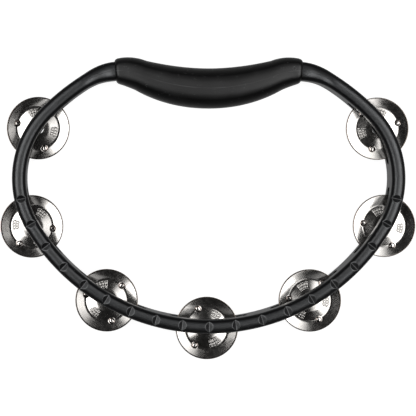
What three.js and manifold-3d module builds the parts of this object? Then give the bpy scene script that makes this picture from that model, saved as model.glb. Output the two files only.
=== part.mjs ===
import * as THREE from 'three';
import { mergeVertices } from 'three/addons/utils/BufferGeometryUtils.js';
import Module from 'manifold-3d';

const wasm = await Module();
wasm.setup();

// Driving sizes, millimetres and degrees. The loop lies flat, its back rail on z = 0.
const loopDepth = 40;          // frame, back face to front face
const railWidth = 9.7;         // frame, measured across the rail
const frontLand = 0.6;         // flat strip along the top of the front crown
const railLand = 3;            // flat strip along the top of the back crown, which lies on a table
const crownDrop = 4.2;          // how far a crown falls from its land to the side wall

// Half of the loop's centreline: tangent arcs from the bottom centre round to the grip.
const bottomY = -81.8;
const bottomArc = { radius: 141.8, turn: 59.8 };
const hipArc = { radius: 63.6, turn: 74.4 };
const sideArc = { radius: 153.7, turn: 15.3 };
const shoulderArc = { radius: 39.1, turn: 51.8 };
const degree = Math.PI / 180;

// Windows, pins and jingles
const webWidth = 17.4;         // wall left between two windows, along the centreline
const windowEndRoom = 6;       // from a jingle's edge to the window's end
const windowHeight = 14;
const windowCorner = 5;
const jingleRadius = 22;
const jingleValley = 14.7;     // radius of the fold between cup and flange
const jingleCap = 7.4;         // radius where the cup flattens
const jinglePlay = 2.45;       // radial, how loosely a jingle sits on its pin
const jingleSheet = 0.8;
const cupRise = 1.55;
const capRise = 0.35;
const flangeRise = 1.4;
const dimpleRadius = 1.9;
const dimpleRise = 0.8;
const pinRadius = 1.45;
const pinHeadRadius = 2.7;
const pinHeadHeight = 1;
const pinDriveDepth = 6.5;     // how far the pin enters the front rail
const pinClearance = 0.1;      // radial, pin in its hole
const gap = 0.3;               // between neighbours that do not run on each other

// Notches across the front crown
const notchPitch = 18.6;
const notchesEachSide = 9;
const notchDepth = 1.3;
const notchHalfWidth = 2.7;

// Grip sleeve and the slimmer core that it covers
const gripHalfLength = 66.1;
const gripMidWidth = 28.3;
const gripMidDepth = 33;
const gripEndWall = 1.6;       // rubber over the core at the two ends
const gripRound = 2.5;         // length of the rounded shoulder at each end
const gripEndInset = 1.3;      // how far that shoulder draws in
const coreWidth = 13;
const coreDepth = 25;
const coreShift = 0.5;         // the core runs this much nearer the inside of the loop
const gripMidShift = 1;        // and the sleeve's outside this much, at its middle
const gripEndShift = 0.4;
const taperLength = 25;        // the frame eases down to the core over this length

// Sizes that follow from those above
const windowLength = 2 * (jingleRadius + windowEndRoom);
const stationPitch = windowLength + webWidth;
const jingleHole = pinRadius + jinglePlay;
const gripEndWidth = coreWidth + 2 * (gap + gripEndWall);
const gripEndDepth = coreDepth + 2 * (gap + gripEndWall);

// One entry per jingle pair: pitches from the bottom centre, hang of the loose jingles, turn of their dimples
const stations = [
  { name: 'top_left', step: -3, hang: [1.4, -1.4], turn: 167 },
  { name: 'side_left', step: -2, hang: [-0.98, -0.42], turn: 354 },
  { name: 'low_left', step: -1, hang: [-0.78, -1.16], turn: 44 },
  { name: 'bottom', step: 0, hang: [-1.05, -2.1], turn: 355 },
  { name: 'low_right', step: 1, hang: [0.9, -1.57], turn: 175 },
  { name: 'side_right', step: 2, hang: [1.14, -0.3], turn: 172 },
  { name: 'top_right', step: 3, hang: [-1.58, -1.7], turn: 16 },
];

// Centreline ----------------------------------------------------------------

const archArc = { turn: shoulderArc.turn + sideArc.turn + hipArc.turn + bottomArc.turn - 180 };

function buildHalfLoop() {
  const arcs = [];
  let x = 0;
  let y = bottomY;
  let heading = 0;
  let start = 0;
  for (const { radius, turn } of [bottomArc, hipArc, sideArc, shoulderArc]) {
    arcs.push({ start, length: radius * turn * degree, radius, heading, x, y });
    const next = heading + turn * degree;
    x += (Math.sin(next) - Math.sin(heading)) * radius;
    y += (Math.cos(heading) - Math.cos(next)) * radius;
    heading = next;
    start += radius * turn * degree;
  }
  // The last arc bends the other way and meets its mirror image square on the axis.
  const radius = x / Math.sin(archArc.turn * degree);
  arcs.push({ start, length: radius * archArc.turn * degree, radius: -radius, heading, x, y });
  return arcs;
}

const halfLoop = buildHalfLoop();
const lastArc = halfLoop[halfLoop.length - 1];
const halfLength = lastArc.start + lastArc.length;

function alongLoop(distance) {
  const side = distance < 0 ? -1 : 1;
  const s = Math.min(Math.abs(distance), halfLength);
  const arc = halfLoop.filter((a) => a.start <= s).pop();
  const heading = arc.heading + (s - arc.start) / arc.radius;
  const x = arc.x + (Math.sin(heading) - Math.sin(arc.heading)) * arc.radius;
  const y = arc.y + (Math.cos(arc.heading) - Math.cos(heading)) * arc.radius;
  return {
    point: new THREE.Vector3(side * x, y, loopDepth / 2),
    along: new THREE.Vector3(Math.cos(heading), side * Math.sin(heading), 0),
    out: new THREE.Vector3(side * Math.sin(heading), -Math.cos(heading), 0),
    heading,
  };
}

// Local axes at a place on the loop: X along it, Y up, Z outwards
function placeAt(distance) {
  const { point, along, out } = alongLoop(distance);
  return new THREE.Matrix4().makeBasis(along, new THREE.Vector3(0, 0, 1), out).setPosition(point);
}

// Solids --------------------------------------------------------------------

function toSolid(geometry) {
  const bare = new THREE.BufferGeometry();
  bare.setAttribute('position', geometry.getAttribute('position'));
  if (geometry.index) bare.setIndex(geometry.index);
  const merged = mergeVertices(bare, 1e-4);
  return new wasm.Manifold(new wasm.Mesh({
    numProp: 3,
    vertProperties: new Float32Array(merged.getAttribute('position').array),
    triVerts: new Uint32Array(merged.index.array),
  }));
}

function toGeometry(solid) {
  const mesh = solid.getMesh();
  const geometry = new THREE.BufferGeometry();
  geometry.setAttribute('position', new THREE.BufferAttribute(new Float32Array(mesh.vertProperties), 3));
  geometry.setIndex(new THREE.BufferAttribute(new Uint32Array(mesh.triVerts), 1));
  return geometry;
}

// Rings of equal count, joined to the next ring and the last one back to the first
function ringsToGeometry(rings) {
  const count = rings[0].length;
  const positions = rings.flat().flatMap((p) => [p.x, p.y, p.z]);
  const index = [];
  rings.forEach((ring, i) => {
    const row = i * count;
    const nextRow = ((i + 1) % rings.length) * count;
    for (let j = 0; j < count; j += 1) {
      const k = (j + 1) % count;
      index.push(row + j, nextRow + j, nextRow + k);
      index.push(row + j, nextRow + k, row + k);
    }
  });
  const geometry = new THREE.BufferGeometry();
  geometry.setAttribute('position', new THREE.Float32BufferAttribute(positions, 3));
  geometry.setIndex(index);
  return geometry;
}

function smoothStep(t) {
  const c = THREE.MathUtils.clamp(t, 0, 1);
  return c * c * (3 - 2 * c);
}

function extrudeAcross(shape, width, distance) {
  const geometry = new THREE.ExtrudeGeometry(shape, { depth: width, bevelEnabled: false, curveSegments: 4 });
  geometry.translate(0, 0, -width / 2);
  geometry.applyMatrix4(placeAt(distance));
  return geometry;
}

// Frame ---------------------------------------------------------------------

const gripStart = halfLength - gripHalfLength;
const quarterSteps = 4;

function frameSize(distance) {
  const t = smoothStep((Math.abs(distance) - gripStart + taperLength) / taperLength);
  return {
    halfWidth: THREE.MathUtils.lerp(railWidth, coreWidth, t) / 2,
    halfDepth: THREE.MathUtils.lerp(loopDepth, coreDepth, t) / 2,
    shift: coreShift * t,
  };
}

// Section ring: four rounded quarters with a flat land between them, front and back
function frameRing(distance, grow) {
  const { point, out } = alongLoop(distance);
  const { halfWidth, halfDepth, shift } = frameSize(distance);
  const ring = [];
  for (let quarter = 0; quarter < 4; quarter += 1) {
    const outward = quarter === 0 || quarter === 3 ? 1 : -1;
    const upward = quarter < 2 ? 1 : -1;
    const land = (upward > 0 ? frontLand : railLand) / 2;
    for (let i = 0; i <= quarterSteps; i += 1) {
      const step = quarter % 2 === 0 ? quarterSteps - i : i;
      const angle = (step / quarterSteps) * Math.PI / 2;
      const u = land + (halfWidth - land + grow) * Math.sin(angle);
      const z = halfDepth + grow - crownDrop * (1 - Math.cos(angle));
      ring.push(point.clone().addScaledVector(out, outward * u - shift).setZ(point.z + upward * z));
    }
  }
  return ring;
}

// Places along the half loop: each arc cut evenly, finer where it bends tighter
function loopDistances() {
  const half = [];
  halfLoop.forEach((arc) => {
    const pieces = Math.max(4, Math.ceil(arc.length / Math.sqrt(0.8 * Math.abs(arc.radius))));
    for (let i = 0; i < pieces; i += 1) half.push(arc.start + (arc.length * i) / pieces);
  });
  const other = half.slice(1).map((s) => -s).reverse();
  return [...other, ...half, halfLength];
}

function windowShape() {
  const x = windowLength / 2;
  const y = windowHeight / 2;
  const r = windowCorner;
  const shape = new THREE.Shape();
  shape.moveTo(r - x, -y);
  shape.lineTo(x - r, -y);
  shape.absarc(x - r, r - y, r, -Math.PI / 2, 0, false);
  shape.absarc(x - r, y - r, r, 0, Math.PI / 2, false);
  shape.absarc(r - x, y - r, r, Math.PI / 2, Math.PI, false);
  shape.absarc(r - x, r - y, r, Math.PI, 1.5 * Math.PI, false);
  return shape;
}

function notchShape() {
  const top = loopDepth / 2;
  const slope = notchDepth / notchHalfWidth;
  const shape = new THREE.Shape();
  shape.moveTo(0, top - notchDepth);
  shape.lineTo(2 * notchHalfWidth, top - notchDepth + 2 * notchHalfWidth * slope);
  shape.lineTo(-2 * notchHalfWidth, top - notchDepth + 2 * notchHalfWidth * slope);
  return shape;
}

// Pin heights, from the window's centre plane
const windowTop = windowHeight / 2;
const headBottom = gap - loopDepth / 2;
const headTop = headBottom + pinHeadHeight;
const boreFloor = headTop + gap;
const pinTip = windowTop + pinDriveDepth;

function cylinderBetween(radius, low, high, sides, distance) {
  const geometry = new THREE.CylinderGeometry(radius, radius, high - low, sides);
  geometry.translate(0, (low + high) / 2, 0);
  geometry.applyMatrix4(placeAt(distance));
  return geometry;
}

function buildFrame() {
  let frame = toSolid(ringsToGeometry(loopDistances().map((s) => frameRing(s, 0))));
  for (const { step } of stations) {
    const s = step * stationPitch;
    const hole = pinRadius + pinClearance;
    frame = frame.subtract(toSolid(extrudeAcross(windowShape(), 4 * railWidth, s)));
    frame = frame.subtract(toSolid(cylinderBetween(hole, headBottom, pinTip + gap, 16, s)));
    frame = frame.subtract(toSolid(cylinderBetween(pinHeadRadius + gap, -loopDepth, boreFloor, 16, s)));
  }
  for (let i = -notchesEachSide; i <= notchesEachSide; i += 1) {
    frame = frame.subtract(toSolid(extrudeAcross(notchShape(), 4 * railWidth, i * notchPitch)));
  }
  return toGeometry(frame);
}

// Grip ----------------------------------------------------------------------

const gripSides = 20;
const gripRows = 18;

function gripRing(distance) {
  const fromMiddle = Math.abs(distance);
  const t = fromMiddle / gripHalfLength;
  const { point, out, heading } = alongLoop(halfLength - fromMiddle);
  const swell = Math.max(0, 1 - t ** 2.5) ** 0.9;
  const width = (gripEndWidth + (gripMidWidth - gripEndWidth) * swell) * Math.abs(Math.cos(heading));
  const depth = gripEndDepth + (gripMidDepth - gripEndDepth) * (1 - t * t);
  const intoRound = THREE.MathUtils.clamp((fromMiddle - gripHalfLength + gripRound) / gripRound, 0, 1);
  const inset = gripEndInset * (1 - Math.sqrt(1 - intoRound * intoRound));
  const shift = THREE.MathUtils.lerp(gripEndShift, gripMidShift, swell);
  // squarer at the ends, where the rubber is thin over the core's corners
  const square = THREE.MathUtils.lerp(0.62, 0.8, swell);
  const side = distance < 0 ? -1 : 1;
  const ring = [];
  for (let i = 0; i < gripSides; i += 1) {
    const angle = (-i / gripSides) * 2 * Math.PI;
    const c = Math.cos(angle);
    const d = Math.sin(angle);
    const u = Math.sign(c) * Math.abs(c) ** square * (width / 2 - inset) - shift;
    const z = Math.sign(d) * Math.abs(d) ** square * (depth / 2 - inset);
    const place = point.clone().addScaledVector(out, u).setZ(point.z + z);
    place.x *= side;
    ring.push(place);
  }
  return ring;
}

// A ring drawn together to its centre closes the end of a swept solid
function closeRing(ring) {
  const centre = new THREE.Vector3();
  ring.forEach((p) => centre.addScaledVector(p, 1 / ring.length));
  return ring.map(() => centre.clone());
}

function buildGrip() {
  const body = gripHalfLength - gripRound;
  const rim = [0.35, 0.65, 0.88, 1].map((t) => body + gripRound * t);
  const places = rim.map((s) => -s).reverse();
  for (let i = 0; i <= gripRows; i += 1) places.push(-body + (2 * body * i) / gripRows);
  places.push(...rim);
  const rings = places.map((s) => gripRing(s));
  const closed = [closeRing(rings[0]), ...rings, closeRing(rings[rings.length - 1])];
  const bore = loopDistances().map((s) => frameRing(s, gap));
  return toGeometry(toSolid(ringsToGeometry(closed)).subtract(toSolid(ringsToGeometry(bore))));
}

// Jingles and pins ----------------------------------------------------------

// Sheet profile, cupped upwards in the middle and at the rim, folded at the valley
function jingleProfile() {
  const under = [
    [jingleHole, cupRise + capRise],
    [jingleCap, cupRise],
    [jingleValley, 0],
    [jingleRadius, flangeRise],
  ];
  const over = under.map(([r, y]) => [r, y + jingleSheet]).reverse();
  return [...under, ...over, under[0]].map(([r, y]) => new THREE.Vector2(r, y));
}

function dimpleProfile() {
  const base = -jingleSheet / 2;
  return [
    new THREE.Vector2(0, base),
    new THREE.Vector2(dimpleRadius, base),
    new THREE.Vector2(dimpleRadius, 0.1),
    new THREE.Vector2(dimpleRadius * 0.6, dimpleRise * 0.7),
    new THREE.Vector2(0, dimpleRise),
  ];
}

function buildJingle() {
  let jingle = toSolid(new THREE.LatheGeometry(jingleProfile(), 24));
  for (let i = 0; i < 3; i += 1) {
    const angle = (i * 2 * Math.PI) / 3;
    const dimple = new THREE.LatheGeometry(dimpleProfile(), 8);
    dimple.translate(jingleValley * Math.cos(angle), jingleSheet, -jingleValley * Math.sin(angle));
    jingle = jingle.add(toSolid(dimple));
  }
  return toGeometry(jingle);
}

function buildPin(distance) {
  const profile = [
    [0, headBottom], [pinHeadRadius, headBottom], [pinHeadRadius, headTop],
    [pinRadius, headTop], [pinRadius, pinTip - pinRadius / 2], [pinRadius / 2, pinTip], [0, pinTip],
  ].map(([r, y]) => new THREE.Vector2(r, y));
  const geometry = new THREE.LatheGeometry(profile, 12);
  geometry.applyMatrix4(placeAt(distance));
  return toGeometry(toSolid(geometry));
}

// Assembly ------------------------------------------------------------------

const jingleHeight = cupRise + capRise + jingleSheet;
const backValley = gap + jingleHeight - windowTop;      // the back jingle lies on the window's floor
const frontValley = backValley + gap;                   // and the front one lies on its back

const group = new THREE.Group();
group.name = 'tambourine';

function addMesh(name, geometry, color, roughness, metalness) {
  geometry.computeVertexNormals();
  const material = new THREE.MeshStandardMaterial({ color, roughness, metalness });
  const mesh = new THREE.Mesh(geometry, material);
  mesh.name = name;
  group.add(mesh);
}

addMesh('frame', buildFrame(), 0x0c0c0d, 0.4, 0);
addMesh('grip', buildGrip(), 0x111112, 0.8, 0);

const jingle = buildJingle();
for (const { name, step, hang, turn } of stations) {
  const { point } = alongLoop(step * stationPitch);
  const centre = [point.x + hang[0], point.y + hang[1]];
  const front = jingle.clone();
  front.rotateX(Math.PI / 2);
  front.rotateZ(turn * degree);
  front.translate(centre[0], centre[1], point.z + frontValley);
  const back = jingle.clone();
  back.rotateX(-Math.PI / 2);
  back.rotateZ(turn * degree + Math.PI / 3);
  back.translate(centre[0], centre[1], point.z + backValley);
  addMesh(`pin_${name}`, buildPin(step * stationPitch), 0x8f8f92, 0.35, 1);
  addMesh(`jingle_back_${name}`, back, 0xc9cacc, 0.12, 1);
  addMesh(`jingle_front_${name}`, front, 0xc9cacc, 0.12, 1);
}

// Origin: middle of the whole object, on the plane that it rests on
const box = new THREE.Box3().setFromObject(group);
const middle = box.getCenter(new THREE.Vector3());
group.children.forEach((mesh) => mesh.geometry.translate(-middle.x, -middle.y, -box.min.z));

export default group;
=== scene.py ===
import math
import bmesh
import bpy
from mathutils import Matrix, Vector


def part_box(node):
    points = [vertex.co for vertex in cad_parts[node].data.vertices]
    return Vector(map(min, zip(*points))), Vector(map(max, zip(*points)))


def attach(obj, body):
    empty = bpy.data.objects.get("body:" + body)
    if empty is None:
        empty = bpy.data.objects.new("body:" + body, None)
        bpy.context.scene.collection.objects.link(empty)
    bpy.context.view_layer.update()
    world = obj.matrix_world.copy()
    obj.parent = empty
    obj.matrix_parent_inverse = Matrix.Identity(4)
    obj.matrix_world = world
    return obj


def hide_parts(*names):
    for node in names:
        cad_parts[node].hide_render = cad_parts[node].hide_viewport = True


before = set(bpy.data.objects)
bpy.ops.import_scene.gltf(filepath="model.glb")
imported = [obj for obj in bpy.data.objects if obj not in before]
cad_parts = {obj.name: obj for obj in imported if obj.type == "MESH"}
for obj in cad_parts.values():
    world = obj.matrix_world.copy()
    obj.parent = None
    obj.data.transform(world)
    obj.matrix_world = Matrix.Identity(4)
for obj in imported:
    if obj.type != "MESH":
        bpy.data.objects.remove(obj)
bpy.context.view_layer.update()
mm = 0.001

# the places round the loop where a pin holds a pair of jingles
placeNames = ["top_left", "side_left", "low_left", "bottom", "low_right", "side_right", "top_right"]


# small helpers

def makeObject(name, mesh):
    obj = bpy.data.objects.new(name, mesh)
    bpy.context.scene.collection.objects.link(obj)
    return obj


def ringsToMesh(name, rings, joinEnds=False):
    # rings of equal count; joinEnds runs the last ring back to the first
    build = bmesh.new()
    rows = [[build.verts.new(p) for p in ring] for ring in rings]
    count = len(rows[0])
    pairs = list(zip(rows, rows[1:])) + ([(rows[-1], rows[0])] if joinEnds else [])
    for low, high in pairs:
        for i in range(count):
            j = (i + 1) % count
            build.faces.new((low[i], low[j], high[j], high[i]))
    if not joinEnds:
        build.faces.new(rows[0][::-1])
        build.faces.new(rows[-1])
    bmesh.ops.recalc_face_normals(build, faces=build.faces)
    mesh = bpy.data.meshes.new(name)
    build.to_mesh(mesh)
    build.free()
    return mesh


def bake(obj):
    # the evaluated result becomes the object's plain mesh
    depsgraph = bpy.context.evaluated_depsgraph_get()
    result = bpy.data.meshes.new_from_object(obj.evaluated_get(depsgraph))
    obj.modifiers.clear()
    obj.data = result


def smoothShade(obj, degrees):
    obj.data.shade_smooth()
    obj.data.set_sharp_from_angle(angle=math.radians(degrees))


# the loop's centre line

loopLine = {
    "bottomY": -81.8, "points": 1400,
    "arcs": [(141.8, 59.8), (63.6, 74.4), (153.7, 15.3), (39.1, 51.8)],  # radius mm, turn degrees
}

# distances run both ways from the bottom pin, and the line lies at half the frame's height
pinLow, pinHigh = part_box("pin_bottom")
frameLow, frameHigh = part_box("frame")
loopMiddle = Vector((
    (pinLow.x + pinHigh.x) / 2,
    (pinLow.y + pinHigh.y) / 2 - loopLine["bottomY"] * mm,
    (frameLow.z + frameHigh.z) / 2))


def halfLoopArcs():
    x, y, heading, start = 0.0, loopLine["bottomY"], 0.0, 0.0
    arcs = []
    for radius, turn in loopLine["arcs"]:
        length = radius * math.radians(turn)
        arcs.append((start, length, radius, heading, x, y))
        after = heading + math.radians(turn)
        x += (math.sin(after) - math.sin(heading)) * radius
        y += (math.cos(heading) - math.cos(after)) * radius
        heading, start = after, start + length
    back = heading - math.pi  # the last arc bends the other way, square onto the axis
    radius = x / math.sin(back)
    arcs.append((start, radius * back, -radius, heading, x, y))
    return arcs


halfArcs = halfLoopArcs()
halfLength = halfArcs[-1][0] + halfArcs[-1][1]


def alongLoop(distance):
    # x, y and heading in mm and radians, distance measured from the bottom centre
    side = -1 if distance < 0 else 1
    s = min(abs(distance), halfLength)
    start, _, radius, heading, x, y = [a for a in halfArcs if a[0] <= s][-1]
    now = heading + (s - start) / radius
    x += (math.sin(now) - math.sin(heading)) * radius
    y += (math.cos(heading) - math.cos(now)) * radius
    return side * x, y, now


def makeLoopCurve():
    points = loopLine["points"]
    curve = bpy.data.curves.new("loopLine", "CURVE")
    curve.dimensions = "3D"
    spline = curve.splines.new("POLY")
    spline.points.add(points - 1)
    for i, point in enumerate(spline.points):
        x, y, _ = alongLoop(-halfLength + 2 * halfLength * i / points)
        point.co = (loopMiddle.x + x * mm, loopMiddle.y + y * mm, loopMiddle.z, 1)
    spline.use_cyclic_u = True
    return makeObject("loopLine", curve)


loopCurve = makeLoopCurve()
print("centre line:", round(2 * halfLength), "mm round")


# node tree helpers

socketKinds = {"Count": "Int", "Loop": "Object", "Material": "Material"}   # every other input is a number


def startTree(name, labels):
    tree = bpy.data.node_groups.new(name, "GeometryNodeTree")
    tree.interface.new_socket("Geometry", in_out="INPUT", socket_type="NodeSocketGeometry")
    for label in labels:
        kind = socketKinds.get(label, "Float")
        tree.interface.new_socket(label, in_out="INPUT", socket_type="NodeSocket" + kind)
    tree.interface.new_socket("Geometry", in_out="OUTPUT", socket_type="NodeSocketGeometry")
    return tree, tree.nodes.new("NodeGroupInput"), tree.nodes.new("NodeGroupOutput")


def wire(tree, source, target):
    if isinstance(source, bpy.types.NodeSocket):
        tree.links.new(source, target)
    else:
        target.default_value = source


def calc(tree, operation, *values):
    made = tree.nodes.new("ShaderNodeMath")
    made.operation = operation
    for socket, value in zip(made.inputs, values):
        wire(tree, value, socket)
    return made.outputs[0]


def times(tree, first, second):
    return calc(tree, "MULTIPLY", first, second)


def plus(tree, first, second):
    return calc(tree, "ADD", first, second)


def minus(tree, first, second):
    return calc(tree, "SUBTRACT", first, second)


def over(tree, first, second):
    return calc(tree, "DIVIDE", first, second)


def absolute(tree, value):
    return calc(tree, "ABSOLUTE", value)


def lengthOf(tree, x, y):
    return calc(tree, "SQRT", plus(tree, times(tree, x, x), times(tree, y, y)))


def fromNearest(tree, value, step):
    # how far a value is from the nearest whole number of steps
    return minus(tree, value, times(tree, step, calc(tree, "ROUND", over(tree, value, step))))


def node(tree, kind, inputs=None, **settings):
    made = tree.nodes.new(kind)
    for key, value in settings.items():
        setattr(made, key, value)
    for key, value in (inputs or {}).items():
        wire(tree, value, made.inputs[key])
    return made


def combine(tree, x, y, z):
    return node(tree, "ShaderNodeCombineXYZ", {0: x, 1: y, 2: z}).outputs[0]


def split(tree, vector):
    return node(tree, "ShaderNodeSeparateXYZ", {0: vector}).outputs


def vectorCalc(tree, operation, first, second=(0, 0, 0)):
    return node(tree, "ShaderNodeVectorMath", {0: first, 1: second}, operation=operation).outputs[0]


def scaleVector(tree, vector, scale):
    return node(tree, "ShaderNodeVectorMath", {0: vector, "Scale": scale}, operation="SCALE").outputs[0]


def addTree(obj, tree, values):
    modifier = obj.modifiers.new(tree.name, "NODES")
    modifier.node_group = tree
    for item in tree.interface.items_tree:
        if item.in_out == "INPUT" and item.name in values:
            modifier[item.identifier] = values[item.name]


def finishTree(tree, geometry, groupIn, groupOut):
    real = node(tree, "GeometryNodeRealizeInstances", {"Geometry": geometry})
    paint = node(tree, "GeometryNodeSetMaterial", {
        "Geometry": real.outputs[0], "Material": groupIn.outputs["Material"]})
    tree.links.new(paint.outputs[0], groupOut.inputs[0])


def windowRowTree():
    # windows and pin recesses cut through a straight bar that lies along X
    tree, groupIn, groupOut = startTree("windowRow", [
        "Count", "Pitch", "Window Length", "Window Height", "Corner Radius",
        "Recess Radius", "Recess Floor", "Hole Radius", "Hole Top", "Material"])
    given = groupIn.outputs
    first = times(tree, minus(tree, given["Count"], 1), times(tree, given["Pitch"], -0.5))
    row = node(tree, "GeometryNodeMeshLine", {
        "Count": given["Count"], "Start Location": combine(tree, first, 0, 0),
        "Offset": combine(tree, given["Pitch"], 0, 0)})
    outline = node(tree, "GeometryNodeCurvePrimitiveQuadrilateral", {
        "Width": given["Window Length"], "Height": given["Window Height"]})
    rounded = node(tree, "GeometryNodeFilletCurve", {
        "Curve": outline.outputs[0], "Radius": given["Corner Radius"], "Count": 10}, mode="POLY")
    pastWall, drillLength, lowerStart = 0.03, 0.02, 0.014
    path = node(tree, "GeometryNodeCurvePrimitiveLine", {
        "Start": (0, 0, -pastWall), "End": (0, 0, pastWall)})
    prism = node(tree, "GeometryNodeCurveToMesh", {
        "Curve": path.outputs[0], "Profile Curve": rounded.outputs[0], "Fill Caps": True})
    upright = node(tree, "GeometryNodeTransform", {
        "Geometry": prism.outputs[0], "Rotation": (math.pi / 2, 0, 0)})

    def drill(radius, top, sides):
        body = node(tree, "GeometryNodeMeshCylinder", {
            "Vertices": sides, "Radius": radius, "Depth": drillLength})
        middle = minus(tree, top, drillLength / 2)
        return node(tree, "GeometryNodeTransform", {
            "Geometry": body.outputs[0], "Translation": combine(tree, 0, 0, middle)})

    # the hole is longer than one drill, so a second one starts lower and overlaps the first
    recess = drill(given["Recess Radius"], given["Recess Floor"], 32)
    hole = drill(given["Hole Radius"], given["Hole Top"], 24)
    lowHole = drill(given["Hole Radius"], plus(tree, given["Recess Floor"], lowerStart), 24)
    cut = groupIn.outputs[0]
    for cutter in (upright, recess, hole, lowHole):
        copies = node(tree, "GeometryNodeInstanceOnPoints", {
            "Points": row.outputs[0], "Instance": cutter.outputs[0]})
        real = node(tree, "GeometryNodeRealizeInstances", {"Geometry": copies.outputs[0]})
        carve = node(tree, "GeometryNodeMeshBoolean", operation="DIFFERENCE", solver="MANIFOLD")
        tree.links.new(cut, carve.inputs["Mesh 1"])
        tree.links.new(real.outputs[0], carve.inputs["Mesh 2"])
        cut = carve.outputs["Mesh"]
    finishTree(tree, cut, groupIn, groupOut)
    return tree


def bendRoundTree():
    # wraps a bar onto the centre line; its X is the distance round the loop, Y is outwards and Z is up
    tree, groupIn, groupOut = startTree("bendRound", [
        "Loop", "Round", "Taper Start", "Taper Length", "Core Width", "Core Drop", "Core Shift", "Wall Top",
        "Notch Pitch", "Notch Reach", "Notch Depth", "Notch Half Width", "Notch Round",
        "Bar Top", "Material"])
    given = groupIn.outputs
    flat = node(tree, "GeometryNodeInputPosition").outputs[0]
    kept = node(tree, "GeometryNodeStoreNamedAttribute", {
        "Geometry": groupIn.outputs[0], "Name": "flat", "Value": flat},
        data_type="FLOAT_VECTOR", domain="POINT")
    s, u, z = split(tree, flat)
    # V-shaped notches in the upper crown, their creases and their rims eased
    fromNotch = absolute(tree, fromNearest(tree, s, given["Notch Pitch"]))
    slope = over(tree, given["Notch Depth"], given["Notch Half Width"])
    creaseEase = times(tree, times(tree, given["Notch Round"], given["Notch Round"]), 0.3)
    easedWay = calc(tree, "SQRT", plus(tree, times(tree, fromNotch, fromNotch), creaseEase))
    floor = plus(tree, minus(tree, given["Bar Top"], given["Notch Depth"]), times(tree, easedWay, slope))
    cutZ = calc(tree, "SMOOTH_MIN", z, floor, given["Notch Round"])
    inReach = times(tree, calc(tree, "LESS_THAN", absolute(tree, s), given["Notch Reach"]),
                    calc(tree, "GREATER_THAN", z, given["Wall Top"]))
    z = plus(tree, times(tree, cutZ, inReach), times(tree, z, minus(tree, 1, inReach)))
    # the bar eases to the slimmer core towards both ends
    into = node(tree, "ShaderNodeMapRange", {
        "Value": absolute(tree, s), "From Min": given["Taper Start"],
        "From Max": plus(tree, given["Taper Start"], given["Taper Length"])},
        interpolation_type="SMOOTHSTEP").outputs[0]
    widen = plus(tree, 1, times(tree, into, minus(tree, given["Core Width"], 1)))
    u = minus(tree, times(tree, u, widen), times(tree, into, given["Core Shift"]))
    share = calc(tree, "MINIMUM", over(tree, absolute(tree, z), given["Wall Top"]), 1)
    drop = times(tree, times(tree, given["Core Drop"], into), times(tree, share, calc(tree, "SIGN", z)))
    z = minus(tree, z, drop)
    # onto the line: its start is half a round before the bottom centre
    far = calc(tree, "WRAP", plus(tree, s, times(tree, given["Round"], 0.5)), given["Round"], 0)
    info = node(tree, "GeometryNodeObjectInfo", {"Object": given["Loop"]}, transform_space="RELATIVE")
    line = node(tree, "GeometryNodeSampleCurve", {
        "Curves": info.outputs["Geometry"], "Length": far}, mode="LENGTH")
    out = vectorCalc(tree, "NORMALIZE", vectorCalc(tree, "CROSS_PRODUCT", line.outputs["Tangent"], (0, 0, 1)))
    atLineHeight = vectorCalc(tree, "ADD", line.outputs["Position"], scaleVector(tree, out, u))
    place = vectorCalc(tree, "ADD", atLineHeight, combine(tree, 0, 0, z))
    moved = node(tree, "GeometryNodeSetPosition", {"Geometry": kept.outputs[0], "Position": place})
    weldGap = 0.00001
    closed = node(tree, "GeometryNodeMergeByDistance", {"Geometry": moved.outputs[0], "Distance": weldGap})
    finishTree(tree, closed.outputs[0], groupIn, groupOut)
    return tree


def stampTree():
    # round dimples pressed up from a disc that lies flat round the Z axis
    tree, groupIn, groupOut = startTree("stampDimples", [
        "Count", "Ring Radius", "Dimple Radius", "Rise", "Turn", "Material"])
    given = groupIn.outputs
    x, y, _ = split(tree, node(tree, "GeometryNodeInputPosition").outputs[0])
    sector = over(tree, 2 * math.pi, given["Count"])
    angle = minus(tree, calc(tree, "ARCTAN2", y, x), given["Turn"])
    folded = fromNearest(tree, angle, sector)
    radius = lengthOf(tree, x, y)
    across = times(tree, radius, calc(tree, "SINE", folded))
    outward = minus(tree, times(tree, radius, calc(tree, "COSINE", folded)), given["Ring Radius"])
    away = over(tree, lengthOf(tree, across, outward), given["Dimple Radius"])
    dome = calc(tree, "SQRT", calc(tree, "MAXIMUM", minus(tree, 1, times(tree, away, away)), 0))
    lift = times(tree, dome, given["Rise"])
    moved = node(tree, "GeometryNodeSetPosition", {
        "Geometry": groupIn.outputs[0], "Offset": combine(tree, 0, 0, lift)})
    finishTree(tree, moved.outputs[0], groupIn, groupOut)
    return tree


windowRow = windowRowTree()
bendRound = bendRoundTree()
stampDimples = stampTree()


# shader helpers

def startMaterial(name):
    material = bpy.data.materials.new(name)
    material.use_nodes = True
    tree = material.node_tree
    return material, tree, tree.nodes["Principled BSDF"]


def shaderGroup(name, inputs, outputs):
    tree = bpy.data.node_groups.new(name, "ShaderNodeTree")
    for label, kind, value in inputs:
        socket = tree.interface.new_socket(label, in_out="INPUT", socket_type="NodeSocket" + kind)
        socket.default_value = value
    for label, kind in outputs:
        tree.interface.new_socket(label, in_out="OUTPUT", socket_type="NodeSocket" + kind)
    return tree, tree.nodes.new("NodeGroupInput"), tree.nodes.new("NodeGroupOutput")


def useGroup(tree, group, values):
    made = tree.nodes.new("ShaderNodeGroup")
    made.node_tree = group
    for key, value in values.items():
        wire(tree, value, made.inputs[key])
    return made.outputs


def noise(tree, where, scale, detail=3, roughness=0.55):
    return node(tree, "ShaderNodeTexNoise", {
        "Vector": where, "Scale": scale, "Detail": detail, "Roughness": roughness}).outputs["Fac"]


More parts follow.
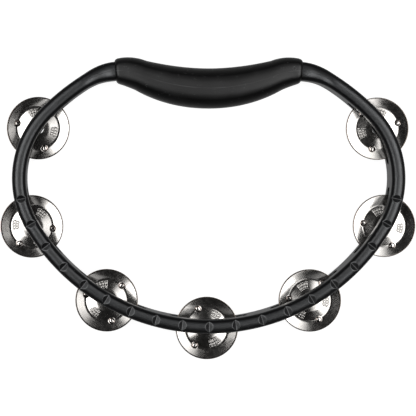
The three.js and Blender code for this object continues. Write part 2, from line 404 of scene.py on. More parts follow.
def ramp(tree, value, low, high, outLow=0.0, outHigh=1.0):
    return node(tree, "ShaderNodeMapRange", {
        "Value": value, "From Min": low, "From Max": high, "To Min": outLow, "To Max": outHigh}).outputs[0]


def mixColor(tree, mask, first, second):
    made = node(tree, "ShaderNodeMix", data_type="RGBA")
    wire(tree, mask, made.inputs[0])
    wire(tree, first, made.inputs[6])
    wire(tree, second, made.inputs[7])
    return made.outputs[2]


def objectPlace(tree):
    return node(tree, "ShaderNodeTexCoord").outputs["Object"]


def barPlace(tree):
    # where a point lay on the straight bar: along it, outwards and up
    return split(tree, node(tree, "ShaderNodeAttribute", attribute_name="flat").outputs["Vector"])


def normalParts(tree):
    return split(tree, node(tree, "ShaderNodeNewGeometry").outputs["Normal"])


def addBump(tree, shader, height, distance, strength):
    bump = node(tree, "ShaderNodeBump", {"Height": height, "Distance": distance, "Strength": strength})
    wire(tree, bump.outputs[0], shader.inputs["Normal"])


def mouldGrainGroup():
    # spark-eroded mould texture: fine pits over soft mottling
    tree, groupIn, groupOut = shaderGroup("mouldGrain", [
        ("Vector", "Vector", (0, 0, 0)), ("Fine Scale", "Float", 2600), ("Mottle Scale", "Float", 120)],
        [("Height", "Float"), ("Mottle", "Float")])
    pits = noise(tree, groupIn.outputs["Vector"], groupIn.outputs["Fine Scale"], 2, 0.6)
    mottle = noise(tree, groupIn.outputs["Vector"], groupIn.outputs["Mottle Scale"], 4, 0.6)
    tree.links.new(plus(tree, pits, times(tree, mottle, 0.4)), groupOut.inputs["Height"])
    tree.links.new(ramp(tree, mottle, 0.3, 0.7), groupOut.inputs["Mottle"])
    return tree


def handlingMarksGroup():
    # thin scuffs and specks of dust from being handled
    tree, groupIn, groupOut = shaderGroup("handlingMarks", [
        ("Vector", "Vector", (0, 0, 0)), ("Scuff Scale", "Float", 90),
        ("Speck Scale", "Float", 900), ("Amount", "Float", 0.5)],
        [("Mask", "Float"), ("Specks", "Float")])
    where = groupIn.outputs["Vector"]
    pulled = node(tree, "ShaderNodeMapping", {
        "Vector": where, "Scale": (1, 5, 1), "Rotation": (0, 0, 0.5)}).outputs[0]
    lines = ramp(tree, noise(tree, pulled, groupIn.outputs["Scuff Scale"], 6, 0.7), 0.60, 0.72)
    patches = ramp(tree, noise(tree, where, 35, 2), 0.45, 0.65)
    scuffs = times(tree, times(tree, lines, patches), groupIn.outputs["Amount"])
    dots = node(tree, "ShaderNodeTexVoronoi", {
        "Vector": where, "Scale": groupIn.outputs["Speck Scale"]}).outputs["Distance"]
    rare = ramp(tree, noise(tree, where, 220, 1), 0.6, 0.66)
    specks = times(tree, calc(tree, "LESS_THAN", dots, 0.16), times(tree, rare, groupIn.outputs["Amount"]))
    tree.links.new(scuffs, groupOut.inputs["Mask"])
    tree.links.new(specks, groupOut.inputs["Specks"])
    return tree


mouldGrain = mouldGrainGroup()
handlingMarks = handlingMarksGroup()


# frame: one black moulding

frameShape = {
    "width": 9.7, "depth": 40.0, "frontLand": 0.6, "backLand": 3.0, "crownDrop": 4.2,
    "windowPitch": 73.4, "windowLength": 56.0, "windowHeight": 14.0, "windowCorner": 5.0, "edgeRound": 0.55,
    "notchPitch": 18.6, "notchesEachSide": 9, "notchDepth": 1.3, "notchHalfWidth": 2.7, "notchRound": 0.05,
    "gripHalfLength": 66.1, "taperLength": 25.0, "coreWidth": 13.0, "coreDepth": 25.0, "coreShift": 0.5,
    "recessRadius": 3.0, "recessFloor": 1.6, "holeRadius": 1.55, "holeTop": 33.8,
    "ringSteps": 12, "stations": 260, "seamHalfWidth": 0.18, "grainFrom": 15.0, "grainFull": 17.2,
    "color": (0.004, 0.0041, 0.0045, 1), "scuffColor": (0.05, 0.05, 0.052, 1),
    "paintedEdgeHighlightColor": (0.13, 0.13, 0.132, 1), "dustColor": (0.12, 0.12, 0.12, 1),
    "wallRoughness": 0.42, "crownRoughness": 0.375, "openGloss": 0.82, "cornerGloss": 0.10,
}
# how far each way from the bottom the row of notches runs
notchReach = (frameShape["notchesEachSide"] + 0.45) * frameShape["notchPitch"] * mm


def frameMaterial():
    look = frameShape
    material, tree, shader = startMaterial("blackMoulding")
    where = objectPlace(tree)
    grain = useGroup(tree, mouldGrain, {"Vector": where, "Fine Scale": 1900, "Mottle Scale": 150})
    marks = useGroup(tree, handlingMarks, {"Vector": where, "Scuff Scale": 110, "Amount": 0.55})
    s, u, z = barPlace(tree)
    # the crowns have the grain, the walls came off polished steel
    onCrown = ramp(tree, absolute(tree, z), look["grainFrom"] * mm, look["grainFull"] * mm)
    rough = plus(tree, ramp(tree, onCrown, 0, 1, look["wallRoughness"], look["crownRoughness"]),
                 ramp(tree, grain["Mottle"], 0, 1, -0.03, 0.04))
    rough = plus(tree, rough, times(tree, marks["Mask"], 0.2))
    # each notch is painted paler along its rim and along its crease: a painted highlight where these edges
    # catch the light
    slope = look["notchDepth"] / look["notchHalfWidth"]
    fromCrease = absolute(tree, fromNearest(tree, s, look["notchPitch"] * mm))
    floorAt = plus(tree, (look["depth"] / 2 - look["notchDepth"]) * mm, times(tree, fromCrease, slope))
    cutAway = minus(tree, z, floorAt)
    near = times(tree, calc(tree, "LESS_THAN", absolute(tree, s), notchReach),
                 calc(tree, "GREATER_THAN", cutAway, -0.0001))
    crease = times(tree, near, ramp(tree, fromCrease, 0.00034, 0.00012))
    rim = times(tree, near, ramp(tree, absolute(tree, cutAway), 0.00009, 0.00002))
    paintedEdgeHighlight = calc(tree, "MAXIMUM", times(tree, crease, 0.8), times(tree, rim, 0.55))
    paler = mixColor(tree, marks["Mask"], look["color"], look["scuffColor"])
    # the notch rims and creases take the painted highlight colour
    paler = mixColor(tree, paintedEdgeHighlight, paler, look["paintedEdgeHighlightColor"])
    dusty = mixColor(tree, marks["Specks"], paler, look["dustColor"])
    wire(tree, dusty, shader.inputs["Base Color"])
    wire(tree, rough, shader.inputs["Roughness"])
    # the parting line shows from the end of the last windows to the grip
    seam = times(tree, calc(tree, "LESS_THAN", absolute(tree, u), look["seamHalfWidth"] * mm),
                 ramp(tree, absolute(tree, s), 0.236, 0.25))
    pitted = times(tree, grain["Height"], ramp(tree, onCrown, 0, 1, 0.15, 1.0))
    height = plus(tree, pitted, times(tree, seam, 0.8))
    addBump(tree, shader, height, 0.00011, 0.8)
    # the tight corners of the section keep a duller skin than the walls and the top
    facing, _, up = normalParts(tree)
    corner = times(tree, ramp(tree, up, 0.22, 0.45), ramp(tree, up, 0.93, 0.82))
    gloss = ramp(tree, corner, 0, 1, look["openGloss"], look["cornerGloss"])
    # the tool left the notches duller, most on their right-facing sides
    inNotch = times(tree, near, ramp(tree, cutAway, 0.00004, 0.00012))
    dulled = times(tree, inNotch, ramp(tree, facing, -0.1, 0.3, 0.2, 0.8))
    gloss = times(tree, gloss, minus(tree, 1, dulled))
    wire(tree, gloss, shader.inputs["Specular IOR Level"])
    shader.inputs["IOR"].default_value = 1.54
    shader.inputs["Specular Tint"].default_value = (0.96, 0.98, 1.0, 1)
    return material


def crownRing(halfWidth, halfDepth, steps, grow=0.0):
    # section with two rounded crowns and a flat land on each, in (outwards, up)
    ring = []
    for quarter in range(4):
        outward = 1 if quarter in (0, 3) else -1
        upward = 1 if quarter < 2 else -1
        land = frameShape["frontLand" if upward > 0 else "backLand"] / 2
        for i in range(steps + 1):
            angle = (steps - i if quarter % 2 == 0 else i) / steps * math.pi / 2
            u = land + (halfWidth - land + grow) * math.sin(angle)
            z = halfDepth + grow - frameShape["crownDrop"] * (1 - math.cos(angle))
            ring.append((outward * u, upward * z))
    return ring


def frameStations():
    # even places along the bar, closer together across each notch
    shape = frameShape
    places = set()
    count = shape["stations"]
    for i in range(count + 1):
        places.add(round(-halfLength + 2 * halfLength * i / count, 4))
    half = shape["notchHalfWidth"]
    for k in range(-shape["notchesEachSide"], shape["notchesEachSide"] + 1):
        centre = k * shape["notchPitch"]
        places = {p for p in places if abs(p - centre) > half + 1.0}
        for step in (0, 0.12, 0.35, 0.8, 1.3, 1.8, 2.2, 2.6, 2.9, 3.2, 3.5, 3.9):
            places.update((round(centre - step, 4), round(centre + step, 4)))
    return sorted(places)


def buildFrame():
    shape = frameShape
    ring = crownRing(shape["width"] / 2, shape["depth"] / 2, shape["ringSteps"])
    bar = makeObject("tambourineFrame", ringsToMesh("tambourineFrame", [
        [(s * mm, u * mm, z * mm) for u, z in ring] for s in frameStations()]))
    material = frameMaterial()
    addTree(bar, windowRow, {
        "Count": len(placeNames), "Pitch": shape["windowPitch"] * mm, "Material": material,
        "Window Length": shape["windowLength"] * mm, "Window Height": shape["windowHeight"] * mm,
        "Corner Radius": shape["windowCorner"] * mm, "Recess Radius": shape["recessRadius"] * mm,
        "Recess Floor": (shape["recessFloor"] - shape["depth"] / 2) * mm,
        "Hole Radius": shape["holeRadius"] * mm, "Hole Top": (shape["holeTop"] - shape["depth"] / 2) * mm})
    bake(bar)
    # the cuts leave slivers that would spoil the rounded edges
    weldGap, sliver = 0.00008, 0.00005
    tidy = bmesh.new()
    tidy.from_mesh(bar.data)
    bmesh.ops.remove_doubles(tidy, verts=tidy.verts, dist=weldGap)
    bmesh.ops.dissolve_degenerate(tidy, edges=tidy.edges, dist=sliver)
    tidy.to_mesh(bar.data)
    tidy.free()
    bevel = bar.modifiers.new("roundedEdges", "BEVEL")
    bevel.width = shape["edgeRound"] * mm
    bevel.segments = 3
    bevel.limit_method = "ANGLE"
    bevel.angle_limit = math.radians(60)
    bevel.use_clamp_overlap = False
    bake(bar)
    # the end caps go, since the ends meet once the bar is bent round
    ends = bmesh.new()
    ends.from_mesh(bar.data)
    limit = (halfLength - 0.6) * mm
    caps = [f for f in ends.faces if all(abs(v.co.x) > limit for v in f.verts) and abs(f.normal.x) > 0.5]
    bmesh.ops.delete(ends, geom=caps, context="FACES")
    ends.to_mesh(bar.data)
    ends.free()
    addTree(bar, bendRound, {
        "Loop": loopCurve, "Round": 2 * halfLength * mm, "Material": material,
        "Bar Top": shape["depth"] / 2 * mm,
        "Taper Start": (halfLength - shape["gripHalfLength"] - shape["taperLength"]) * mm,
        "Taper Length": shape["taperLength"] * mm, "Core Width": shape["coreWidth"] / shape["width"],
        "Core Drop": (shape["depth"] - shape["coreDepth"]) / 2 * mm, "Core Shift": shape["coreShift"] * mm,
        "Wall Top": (shape["depth"] / 2 - shape["crownDrop"]) * mm,
        "Notch Pitch": shape["notchPitch"] * mm, "Notch Reach": notchReach,
        "Notch Depth": shape["notchDepth"] * mm, "Notch Half Width": shape["notchHalfWidth"] * mm,
        "Notch Round": shape["notchRound"] * mm})
    bake(bar)
    smoothShade(bar, 30)
    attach(bar, "tambourine_frame")
    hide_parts("frame")


buildFrame()
print("frame: windows, notches and taper done")


# grip: soft rubber sleeve

gripShape = {
    "halfLength": 66.1, "midWidth": 28.0, "midDepth": 33.0, "endWall": 1.56, "gap": 0.3,
    "midShift": 1.0, "endShift": 0.4, "shoulder": 2.5, "shoulderInset": 1.3, "sides": 72, "stations": 90,
    "seamHeight": 0.1, "seamHalfWidth": 0.35, "gateAt": 60.6, "gateOut": 1.0, "gateSize": 1.3,
    "color": (0.003, 0.003, 0.0031, 1), "seamColor": (0.035, 0.035, 0.036, 1),
    "wornColor": (0.11, 0.11, 0.112, 1), "dustColor": (0.14, 0.14, 0.14, 1), "roughness": 0.43,
}


def gripMaterial():
    look = gripShape
    material, tree, shader = startMaterial("gripRubber")
    where = objectPlace(tree)
    grain = useGroup(tree, mouldGrain, {"Vector": where, "Fine Scale": 1500, "Mottle Scale": 60})
    marks = useGroup(tree, handlingMarks, {"Vector": where, "Scuff Scale": 60, "Amount": 1.0})
    s, u, z = barPlace(tree)
    # the sleeve's outside sits nearer the inside of the loop than its line does, most of all in the middle
    fromMiddle = absolute(tree, minus(tree, absolute(tree, s), halfLength * mm))
    swell = calc(tree, "POWER", ramp(tree, fromMiddle, 0, look["halfLength"] * mm, 1, 0), 0.6)
    seamOff = ramp(tree, swell, 0, 1, look["endShift"] * mm, look["midShift"] * mm)
    # paler scuffs from the hand along the top of the crown
    onTop = ramp(tree, z, 0.012, 0.015)
    onCrown = times(tree, ramp(tree, absolute(tree, u), 0.004, 0.0), onTop)
    worn = times(tree, onCrown, times(tree, marks["Mask"], 0.9))
    color = mixColor(tree, worn, look["color"], look["wornColor"])
    # small diamond left by the injection gate, near the right-hand end
    gateS = absolute(tree, minus(tree, s, (halfLength - look["gateAt"]) * mm))
    gateU = absolute(tree, minus(tree, u, look["gateOut"] * mm))
    reach = plus(tree, gateS, gateU)
    fromOutline = absolute(tree, minus(tree, reach, look["gateSize"] * mm))
    diamond = times(tree, ramp(tree, fromOutline, 0.00035, 0.0001), calc(tree, "GREATER_THAN", z, 0))
    # the moulding seam, fainter in patches
    onSeam = times(tree, ramp(tree, absolute(tree, plus(tree, u, seamOff)), 0.0004, 0.0002),
                   ramp(tree, noise(tree, where, 45, 2), 0.42, 0.58, 0.15, 1.0))
    color = mixColor(tree, calc(tree, "MAXIMUM", onSeam, diamond), color, look["seamColor"])
    # paler patches on the top face, partly wear and partly a painted soft highlight
    wearAndSheenPatch = times(tree, ramp(tree, noise(tree, where, 28, 2), 0.56, 0.70), onTop)
    color = mixColor(tree, times(tree, wearAndSheenPatch, 0.35), color, look["seamColor"])
    color = mixColor(tree, marks["Specks"], color, look["dustColor"])
    wire(tree, color, shader.inputs["Base Color"])
    rough = plus(tree, look["roughness"], ramp(tree, grain["Mottle"], 0, 1, -0.05, 0.07))
    wire(tree, rough, shader.inputs["Roughness"])
    height = plus(tree, times(tree, grain["Height"], 0.45), diamond)
    addBump(tree, shader, height, 0.00014, 0.7)
    # the palm keeps a band along each crown polished, the shoulders stay dull
    # and the sides have a little gloss
    level = absolute(tree, normalParts(tree)[2])
    crownGloss = ramp(tree, level, 0.84, 0.985, 0.13, 0.66)
    gloss = calc(tree, "MAXIMUM", crownGloss, ramp(tree, level, 0.35, 0.15, 0.0, 0.3))
    wire(tree, gloss, shader.inputs["Specular IOR Level"])
    shader.inputs["IOR"].default_value = 1.5
    return material


def gripAngles():
    # even round the section, with extra places beside the moulding seam on both crowns
    sides = gripShape["sides"]
    angles = [2 * math.pi * i / sides for i in range(sides)]
    for crown in (math.pi / 2, 1.5 * math.pi):
        angles = [a for a in angles if abs(a - crown) > 0.03]
        angles += [crown + d for d in (-0.045, -0.03, -0.018, -0.008, 0, 0.008, 0.018, 0.03, 0.045)]
    return sorted(angles)


def gripOuterRing(fromMiddle):
    shape = gripShape
    half = shape["halfLength"]
    t = min(abs(fromMiddle) / half, 1)
    heading = alongLoop(halfLength - abs(fromMiddle))[2]
    endWidth = frameShape["coreWidth"] + 2 * (shape["gap"] + shape["endWall"])
    endDepth = frameShape["coreDepth"] + 2 * (shape["gap"] + shape["endWall"])
    swell = max(0, 1 - t ** 2.5) ** 0.9
    width = (endWidth + (shape["midWidth"] - endWidth) * swell) * abs(math.cos(heading))
    depth = endDepth + (shape["midDepth"] - endDepth) * (1 - t * t)
    into = min(max((abs(fromMiddle) - half + shape["shoulder"]) / shape["shoulder"], 0), 1)
    inset = shape["shoulderInset"] * (1 - math.sqrt(1 - into * into))
    shift = shape["endShift"] + (shape["midShift"] - shape["endShift"]) * swell
    square = 0.62 + 0.18 * swell   # squarer at the ends, where the rubber is thin over the core's corners
    ring = []
    for angle in gripAngles():
        c, d = math.cos(angle), math.sin(angle)
        u = math.copysign(abs(c) ** square, c) * (width / 2 - inset)
        z = math.copysign(abs(d) ** square, d) * (depth / 2 - inset)
        seam = max(0, 1 - abs(u) / shape["seamHalfWidth"]) * shape["seamHeight"] * (1 - into)
        ring.append((u - shift, z + math.copysign(seam, d)))
    return ring


def gripInnerRing(angles):
    # the bore follows the core with an even gap; each angle meets the core's section once
    halfWidth = frameShape["coreWidth"] / 2
    halfDepth = frameShape["coreDepth"] / 2
    section = crownRing(halfWidth, halfDepth, 24, gripShape["gap"])
    ring = []
    for angle in angles:
        c, d = math.cos(angle), math.sin(angle)
        best = max(section, key=lambda p: (p[0] * c + p[1] * d) / math.hypot(*p))
        ring.append((best[0] - frameShape["coreShift"], best[1]))
    return ring


def buildGrip():
    shape = gripShape
    half = shape["halfLength"]
    shoulder = shape["shoulder"]
    inner = half - shoulder
    count = shape["stations"]
    rim = [inner + shoulder * t for t in (0.25, 0.45, 0.62, 0.76, 0.87, 0.95, 1.0)]
    places = [-r for r in reversed(rim)] + [-inner + 2 * inner * i / count for i in range(count + 1)] + rim
    outer = [[((halfLength + p) * mm, u * mm, z * mm) for u, z in gripOuterRing(p)] for p in places]
    bore = gripInnerRing(gripAngles())
    lining = [[((halfLength + p) * mm, u * mm, z * mm) for u, z in bore] for p in reversed(places)]
    grip = makeObject("gripSleeve", ringsToMesh("gripSleeve", outer + lining, joinEnds=True))
    # bent round as it is: the taper starts far beyond its ends and the notches have no reach
    addTree(grip, bendRound, {
        "Loop": loopCurve, "Round": 2 * halfLength * mm, "Material": gripMaterial(),
        "Bar Top": 1.0, "Wall Top": 0.014, "Taper Start": 9.0, "Taper Length": 1.0,
        "Core Width": 1.0, "Core Drop": 0.0, "Core Shift": 0.0, "Notch Pitch": 1.0, "Notch Reach": 0.0,
        "Notch Depth": 0.0, "Notch Half Width": 1.0, "Notch Round": 0.0})
    bake(grip)
    smoothShade(grip, 50)
    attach(grip, "tambourine_frame")
    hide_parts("grip")


buildGrip()
print("grip sleeve done")


# jingles

jingleShape = {
    "radius": 21.78, "valley": 14.7, "cap": 7.4, "hole": 3.9, "sheet": 0.8,
    "cupRise": 1.55, "capRise": 0.35, "flangeRise": 1.4, "foldRound": 0.9, "rimRound": 0.3, "holeRound": 0.15,
    "dimples": 3, "dimpleRadius": 1.9, "dimpleRise": 0.8, "backTurn": 60, "segments": 168, "uvSpan": 50.0,
    "stampAt": 11.2, "stampLong": 3.3, "stampWide": 2.5, "stampFade": 0.3,
    "color": (0.735, 0.71, 0.68, 1), "paintedRimReflectionColor": (0.22, 0.16, 0.12, 1), "paintedDimpleShadeColor": (0.07, 0.035, 0.02, 1),
    "stainColor": (0.55, 0.50, 0.45, 1), "grooveColor": (0.16, 0.15, 0.14, 1), "roughness": 0.15,
}
# how far each front jingle is turned on its pin, in degrees; the back one is turned by backTurn more
jingleTurns = {
    "top_left": 167, "side_left": 354, "low_left": 44, "bottom": 355,
    "low_right": 175, "side_right": 172, "top_right": 16,
}


def jingleMaterial():
    look = jingleShape
    material, tree, shader = startMaterial("brightNickel")
    # millimetres from the disc's middle, which is at one half each way
    local = node(tree, "ShaderNodeUVMap", uv_map="disc").outputs[0]
    inMm = scaleVector(tree, vectorCalc(tree, "SUBTRACT", local, (0.5, 0.5, 0)), look["uvSpan"])
    x, y, _ = split(tree, inMm)
    radius = lengthOf(tree, x, y)
    angle = calc(tree, "ARCTAN2", y, x)
    # polishing lines run round the disc
    rings = noise(tree, combine(tree, times(tree, radius, 2.0), times(tree, angle, 0.8), 0), 2.0, 3, 0.6)
    cloud = noise(tree, inMm, 0.35, 3)
    # how far each place is from the middle of its nearest dimple
    sector = 2 * math.pi / look["dimples"]
    fromRay = fromNearest(tree, angle, sector)
    aside = times(tree, radius, calc(tree, "SINE", fromRay))
    beyond = minus(tree, times(tree, radius, calc(tree, "COSINE", fromRay)), look["valley"])
    dimpleAway = lengthOf(tree, aside, beyond)
    # a dark ring round each dimple: painted shade on its flank
    paintedDimpleShade = times(tree, ramp(tree, dimpleAway, 1.0, 1.45), ramp(tree, dimpleAway, 2.5, 1.95))
    # a plain stamp midway between dimples: rows of small pips in a rounded field
    turned = minus(tree, absolute(tree, fromRay), sector / 2)
    across = times(tree, turned, look["stampAt"])
    outward = minus(tree, radius, look["stampAt"])
    long, wide, fade = look["stampLong"], look["stampWide"], look["stampFade"]
    field = times(tree, ramp(tree, absolute(tree, across), long, long - fade),
                  ramp(tree, absolute(tree, outward), wide, wide - fade))
    pips = times(tree, calc(tree, "COSINE", times(tree, across, 1.75)),
                 calc(tree, "SINE", times(tree, outward, 1.65)))
    stamp = times(tree, ramp(tree, absolute(tree, pips), 0.15, 0.6), field)
    grooves = times(tree, field, ramp(tree, absolute(tree, pips), 0.3, 0.08))
    # the outermost rim is painted dark: a painted reflection along the rolled edge
    rim = ramp(tree, radius, 21.1, 21.4)
    stain = times(tree, ramp(tree, noise(tree, inMm, 1.1, 4), 0.62, 0.75), 0.2)
    color = mixColor(tree, stain, look["color"], look["stainColor"])
    color = mixColor(tree, times(tree, rim, 0.85), color, look["paintedRimReflectionColor"])
    color = mixColor(tree, times(tree, paintedDimpleShade, 0.85), color, look["paintedDimpleShadeColor"])
    color = mixColor(tree, times(tree, grooves, 0.75), color, look["grooveColor"])
    wire(tree, color, shader.inputs["Base Color"])
    polish = plus(tree, ramp(tree, rings, 0.3, 0.7, -0.015, 0.02), ramp(tree, cloud, 0.35, 0.65, -0.02, 0.02))
    rough = plus(tree, look["roughness"], plus(tree, polish, times(tree, stamp, 0.25)))
    wire(tree, rough, shader.inputs["Roughness"])
    height = plus(tree, times(tree, rings, 0.002), times(tree, stamp, 2.2))
    addBump(tree, shader, height, 0.0002, 0.5)
    shader.inputs["Metallic"].default_value = 1.0
    return material


def jingleProfile():
    # (radius, height) from the hole's edge out to the rim, folds eased by short arcs
    shape = jingleShape
    corners = [(shape["hole"], shape["cupRise"] + shape["capRise"]), (shape["cap"], shape["cupRise"]),
               (shape["valley"], 0.0), (shape["radius"], shape["flangeRise"])]

    def onLines(r):
        for (r0, h0), (r1, h1) in zip(corners, corners[1:]):
            if r <= r1:
                return h0 + (h1 - h0) * (r - r0) / (r1 - r0)
        return corners[-1][1]

    def eased(r):
        spread = shape["foldRound"]
        nearby = [min(max(r + spread * k / 4, shape["hole"]), shape["radius"]) for k in range(-4, 5)]
        samples = [onLines(place) for place in nearby]
        flat = onLines(r)
        near = min(abs(r - c[0]) for c in corners[1:3])
        return sum(samples) / len(samples) if near < spread else flat

    # small steps near the two folds, longer ones elsewhere
    nearFold, smallStep, longStep = 2.6, 0.3, 0.8
    last = shape["radius"] - shape["rimRound"]
    radii = [shape["hole"]]
    r = shape["hole"]
    while r < last:
        away = min(abs(r - shape["valley"]), abs(r - shape["cap"]))
        r += smallStep if away < nearFold else longStep
        radii.append(min(r, last))
    return [(r, eased(r)) for r in radii]


def jingleRings():
    shape = jingleShape
    line = jingleProfile()
    sheet = shape["sheet"]
    rimRound, holeRound = shape["rimRound"], shape["holeRound"]
    edgeHeight = line[-1][1] + (shape["flangeRise"] - line[-1][1]) * 0.5
    # round the rolled edge, and the hole's edge, with a half circle
    edge = []
    for k in range(1, 6):
        turn = -math.pi / 2 + math.pi * k / 6
        edge.append((shape["radius"] - rimRound + rimRound * math.cos(turn),
                     edgeHeight + sheet / 2 + sheet / 2 * math.sin(turn)))
    bore = []
    for k in range(1, 4):
        turn = math.pi / 2 + math.pi * k / 4
        bore.append((shape["hole"] + holeRound + holeRound * math.cos(turn),
                     line[0][1] + sheet / 2 + sheet / 2 * math.sin(turn)))
    underside = [(max(r, shape["hole"] + holeRound), h) for r, h in line]
    topside = [(r, h + sheet) for r, h in reversed(underside)]
    profile = underside + edge + topside + bore
    rings = []
    for i in range(shape["segments"]):
        angle = 2 * math.pi * i / shape["segments"]
        rings.append([(r * mm * math.cos(angle), r * mm * math.sin(angle), h * mm) for r, h in profile])
    return rings


def buildJingles():
    shape = jingleShape
    material = jingleMaterial()
    blank = makeObject("jingleBlank", ringsToMesh("jingleBlank", jingleRings(), joinEnds=True))
    disc = blank.data.uv_layers.new(name="disc")
    span = shape["uvSpan"] * mm
    for loop in blank.data.loops:
        at = blank.data.vertices[loop.vertex_index].co
        disc.data[loop.index].uv = (0.5 + at.x / span, 0.5 + at.y / span)
    addTree(blank, stampDimples, {
        "Count": shape["dimples"], "Ring Radius": shape["valley"] * mm, "Turn": 0.0, "Material": material,
        "Dimple Radius": shape["dimpleRadius"] * mm, "Rise": shape["dimpleRise"] * mm})
    bake(blank)
    smoothShade(blank, 50)
    for name in placeNames:
        for side in ("front", "back"):
            nodeName = "jingle_" + side + "_" + name
            low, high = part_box(nodeName)
            turn = math.radians(jingleTurns[name] + (shape["backTurn"] if side == "back" else 0))
            mesh = blank.data.copy()
            flip = Matrix.Rotation(math.pi, 4, "X") if side == "back" else Matrix.Identity(4)
            lift = low.z if side == "front" else high.z
            centre = Vector(((low.x + high.x) / 2, (low.y + high.y) / 2, lift))
            mesh.transform(Matrix.Translation(centre) @ Matrix.Rotation(turn, 4, "Z") @ flip)
            piece = makeObject(side + "Jingle." + name, mesh)
            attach(piece, side + "_jingle_" + name)
            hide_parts(nodeName)
    bpy.data.objects.remove(blank)


buildJingles()
print("jingles:", 2 * len(placeNames))


# pins

pinShape = {
    "radius": 1.45, "headRadius": 2.7, "headHeight": 1.0, "headBottom": 0.3, "tip": 33.5, "sides": 36,
    "color": (0.42, 0.42, 0.43, 1), "stainColor": (0.2, 0.17, 0.14, 1), "roughness": 0.3,
}


def pinMaterial():
    look = pinShape
    material, tree, shader = startMaterial("drawnSteel")
    where = objectPlace(tree)
    pulled = node(tree, "ShaderNodeMapping", {"Vector": where, "Scale": (1, 1, 0.06)}).outputs[0]
    lines = noise(tree, pulled, 4200, 3, 0.6)
    marks = useGroup(tree, handlingMarks, {"Vector": where, "Amount": 0.6})
    color = mixColor(tree, marks["Mask"], look["color"], look["stainColor"])
    wire(tree, color, shader.inputs["Base Color"])
    rough = plus(tree, look["roughness"], ramp(tree, lines, 0.3, 0.7, -0.06, 0.12))
    wire(tree, rough, shader.inputs["Roughness"])
    addBump(tree, shader, lines, 0.00005, 0.5)
    shader.inputs["Metallic"].default_value = 1.0
    return material


def buildPins():
    shape = pinShape
    material = pinMaterial()
    bottom, top, tip = shape["headBottom"], shape["headBottom"] + shape["headHeight"], shape["tip"]
    head, shank = shape["headRadius"], shape["radius"]
    profile = [
        (head * 0.5, bottom), (head - 0.35, bottom + 0.02), (head - 0.1, bottom + 0.12), (head, bottom + 0.4),
        (head, top - 0.15), (head - 0.12, top), (shank + 0.25, top), (shank, top + 0.25),
        (shank, 10.0), (shank, 20.0), (shank, 30.0),
        (shank, tip - 0.9), (shank * 0.8, tip - 0.35), (shank * 0.45, tip)]
    sides = shape["sides"]
    turns = [2 * math.pi * i / sides for i in range(sides)]
    for name in placeNames:
        low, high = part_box("pin_" + name)
        x, y = (low.x + high.x) / 2, (low.y + high.y) / 2
        base = low.z - bottom * mm
        rings = [[(x + r * mm * math.cos(a), y + r * mm * math.sin(a), base + h * mm) for a in turns]
                 for r, h in profile]
        piece = makeObject("jinglePin." + name, ringsToMesh("jinglePin." + name, rings))
        piece.data.materials.append(material)
        smoothShade(piece, 40)
        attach(piece, "pin_" + name)
        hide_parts("pin_" + name)


buildPins()
print("pins:", len(placeNames))
bpy.data.objects.remove(loopCurve)


# floor, lights and camera

studio = {
    "floorSize": 6, "floorColor": (0.25, 0.25, 0.25, 1), "floorGlow": 0.95,
    "reflectedColor": (0.18, 0.18, 0.18, 1), "reflectedGlow": 0.4, "panelHeight": 1.0,
    # each panel of light: west, east, south, north, glow
    "panels": [
        (-0.34, -0.31, -0.38, 0.55, 0.6), (-0.39, -0.34, -0.38, 0.55, 1.4), (-1.25, -0.39, -0.38, 0.55, 3.5),
        (0.235, 0.255, -0.45, 0.55, 0.6), (0.255, 0.39, -0.45, 0.55, 1.5), (0.39, 1.25, -0.45, 0.55, 3.5),
        (0.19, 0.235, 0.05, 0.50, 0.8), (0.19, 0.235, -0.42, -0.26, 0.9),
        (-0.6, 0.6, 1.1, 1.6, 0.7),
    ],
    "surround": 0.006, "horizon": 0.22, "backdrop": 0.95,
    "cameraHeight": 1.84, "cameraAside": (-62.0, 37.0), "targetAside": -0.28,
    "viewWidth": 289.9, "sensor": 36,
}


def addPanel(west, east, south, north, glow):
    # a level panel of light facing down, as bright as its neighbours for the same glow, whatever its size
    lamp = bpy.data.lights.new("softbox", "AREA")
    lamp.shape = "RECTANGLE"
    lamp.size = east - west
    lamp.size_y = north - south
    lamp.energy = glow * math.pi * lamp.size * lamp.size_y
    holder = bpy.data.objects.new("softbox", lamp)
    holder.location = ((west + east) / 2, (south + north) / 2, studio["panelHeight"])
    holder.visible_camera = False
    bpy.context.scene.collection.objects.link(holder)


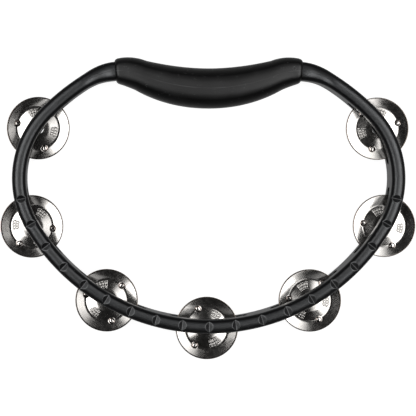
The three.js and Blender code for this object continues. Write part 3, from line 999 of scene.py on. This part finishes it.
def buildStudio():
    light = studio
    bpy.ops.mesh.primitive_grid_add(x_subdivisions=2, y_subdivisions=2, size=light["floorSize"])
    floor = bpy.context.object
    floor.name = "paleFloor"
    material, tree, shader = startMaterial("paleFloor")
    tone = ramp(tree, noise(tree, objectPlace(tree), 6, 2), 0, 1, 0.96, 1.0)
    seen = node(tree, "ShaderNodeLightPath").outputs["Is Camera Ray"]
    # glows like a light table where it is looked at, so shadows stay faint, and less in reflections
    pale = mixColor(tree, seen, light["reflectedColor"], light["floorColor"])
    wire(tree, pale, shader.inputs["Base Color"])
    shader.inputs["Roughness"].default_value = 0.9
    shader.inputs["Specular IOR Level"].default_value = 0.0
    shader.inputs["Emission Color"].default_value = (1, 1, 1, 1)
    glow = ramp(tree, seen, 0, 1, light["reflectedGlow"], light["floorGlow"])
    wire(tree, times(tree, glow, tone), shader.inputs["Emission Strength"])
    floor.data.materials.append(material)
    # a softbox on each side fades out towards the middle in narrow steps, so that a curved mirror
    # shades off softly, and a weak strip beyond the grip picks out the facing sides of the notches
    for panel in light["panels"]:
        addPanel(*panel)
    world = bpy.data.worlds.new("studioRoom")
    bpy.context.scene.world = world
    world.use_nodes = True
    tree = world.node_tree
    seen = node(tree, "ShaderNodeLightPath").outputs["Is Camera Ray"]
    # dark overhead and lighter low down, so polished metal keeps its shine from the side
    climb = split(tree, node(tree, "ShaderNodeTexCoord").outputs["Generated"])[2]
    room = ramp(tree, climb, 0.5, 0.25, light["surround"], light["horizon"])
    strength = plus(tree, times(tree, seen, light["backdrop"]), times(tree, minus(tree, 1, seen), room))
    wire(tree, strength, tree.nodes["Background"].inputs["Strength"])
    tree.nodes["Background"].inputs["Color"].default_value = (1, 1, 1, 1)


def buildCamera():
    look = studio
    data = bpy.data.cameras.new("viewFromAbove")
    camera = bpy.data.objects.new("viewFromAbove", data)
    bpy.context.scene.collection.objects.link(camera)
    top = frameHigh.z + look["cameraHeight"]
    target = Vector((loopMiddle.x + look["targetAside"] * mm, loopMiddle.y, loopMiddle.z))
    aside, above = look["cameraAside"]
    camera.location = (target.x + aside * mm, target.y + above * mm, top)
    sight = camera.location - target
    # a row of the picture stays level with X, whichever way the camera leans
    right = Vector((0, 1, 0)).cross(sight).normalized()
    up = sight.cross(right).normalized()
    camera.rotation_euler = Matrix((right, up, sight.normalized())).transposed().to_euler()
    data.sensor_width = look["sensor"]
    data.lens = look["sensor"] * sight.length / (look["viewWidth"] * mm)
    data.clip_start = 0.05
    data.clip_end = 20
    bpy.context.scene.camera = camera


buildStudio()
buildCamera()
bpy.context.scene.view_settings.view_transform = "Standard"
